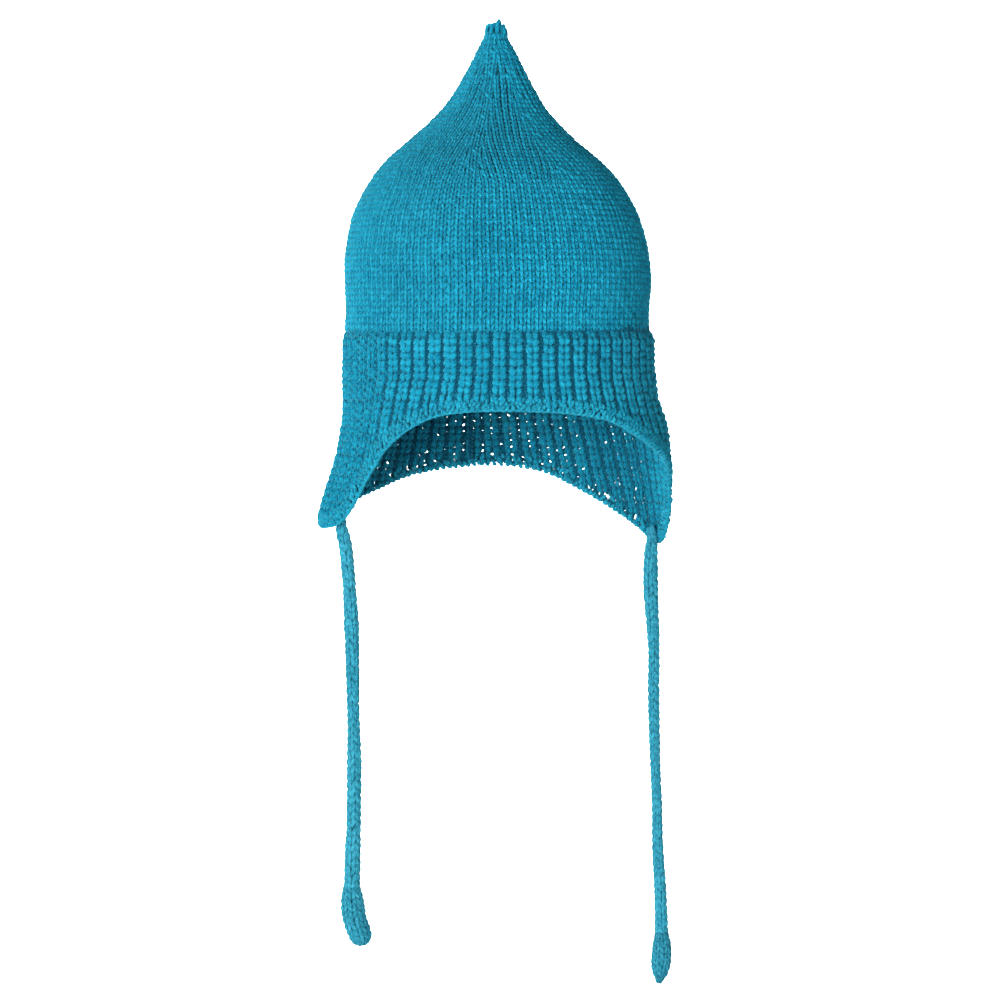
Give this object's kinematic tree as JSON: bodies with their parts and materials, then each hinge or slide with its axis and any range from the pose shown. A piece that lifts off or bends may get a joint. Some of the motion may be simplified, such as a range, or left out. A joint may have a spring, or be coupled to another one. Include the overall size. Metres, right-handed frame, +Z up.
{
  "type": "knit hat",
  "caption": "Toddler's knitted pixie hat: pointed crown gathered at its tip, ribbed band dropping to ear flaps, bound edge, back seam and two knitted ties.",
  "frame": {"origin": "middle of the head opening, on the crown's axis and level with the front edge of the hem: the place where the head goes in", "axes": "+Z up along the head's axis towards the gathered tip, -Y the way that the face looks, +X towards the wearer's left ear"},
  "size_m": [0.1808, 0.1568, 0.4855],
  "materials": {
    "stockinette": "matte plied acrylic yarn in smooth knit stitches, slightly fuzzy",
    "ribbing": "matte plied acrylic yarn in deep single ribs",
    "edging": "matte plied acrylic yarn in bound-off and sewn stitches",
    "knitted_cord": "matte plied acrylic yarn knitted as a round cord"
  },
  "bodies": {
    "root": {"crown": "stockinette", "tip_gather": "stockinette", "band": "ribbing", "hem": "edging", "back_seam": "edging", "left_tie": "knitted_cord", "left_tie_knob": "knitted_cord", "right_tie": "knitted_cord", "right_tie_knob": "knitted_cord"}
  },
  "joints": []
}
